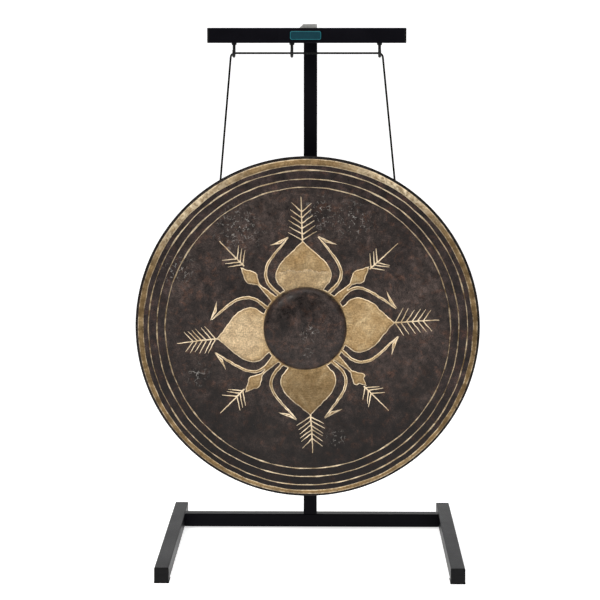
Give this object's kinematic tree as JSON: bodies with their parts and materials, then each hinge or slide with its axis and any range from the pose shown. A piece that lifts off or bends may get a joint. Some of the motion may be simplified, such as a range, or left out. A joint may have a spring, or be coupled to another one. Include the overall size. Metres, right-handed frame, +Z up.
{
  "type": "tam tam gong",
  "caption": "Large round bronze gong with a raised boss, hung by a cord from hooks under the crossbar of a black square-tube floor stand.",
  "frame": {"origin": "on the floor, under the middle of the part's bounding box", "axes": "+Z up, the gong's struck face and the open side of the base towards -Y, +X to the right seen from the front"},
  "size_m": [0.81, 0.65, 1.2177],
  "materials": {
    "powder_coat": "fine-textured satin black powder coat",
    "cap_plastic": "matt black moulded plastic",
    "zinc_plate": "dull zinc plated",
    "zinc_hardware": "zinc plated",
    "insert_steel": "plain steel",
    "insert_brass": "yellow passivated",
    "black_hardware": "black oxide",
    "hook_black": "black coated rod",
    "badge_teal": "blank teal plate with a raised border",
    "cord_black": "braided black nylon",
    "gong_bronze": "hammered, dark brown patina with scraped bright ornament"
  },
  "bodies": {
    "stand": {"left_leg_tube": "powder_coat", "right_leg_tube": "powder_coat", "base_cross_tube": "powder_coat", "post_tube": "powder_coat", "post_spigot": "powder_coat", "crossbar_arm": "powder_coat", "crossbar_tube": "powder_coat", "crossbar_plate": "zinc_plate", "front_left_foot": "cap_plastic", "front_right_foot": "cap_plastic", "back_left_foot": "cap_plastic", "back_right_foot": "cap_plastic", "left_crossbar_cap": "cap_plastic", "right_crossbar_cap": "cap_plastic", "post_top_cap": "cap_plastic", "leg_screws": "black_hardware", "cross_tube_inserts": "insert_steel", "post_screws": "zinc_hardware", "post_screw_nuts": "insert_brass", "arm_bolt": "zinc_hardware", "arm_washer": "zinc_hardware", "arm_insert": "insert_steel", "crossbar_screws": "zinc_hardware", "crossbar_washers": "zinc_hardware", "crossbar_screw_nuts": "insert_brass", "left_hook": "hook_black", "middle_hook": "hook_black", "right_hook": "hook_black", "hook_lock_nuts": "black_hardware", "hook_rivet_nuts": "black_hardware", "badge_plate": "badge_teal"},
    "cord": {"suspension_cord": "cord_black", "left_cord_knot": "cord_black", "right_cord_knot": "cord_black"},
    "gong": {"gong": "gong_bronze"}
  },
  "joints": [
    {"name": "gong_swing", "type": "hinge", "parent": "stand", "child": "cord", "pos_m": [0, 0.081, 1.1508], "axis": [1, 0, 0], "range_deg": [-25, 2]},
    {"name": "gong_tilt", "type": "hinge", "parent": "cord", "child": "gong", "pos_m": [0, 0.081, 0.857], "axis": [1, 0, 0], "range_deg": [-10, 0.5]}
  ]
}
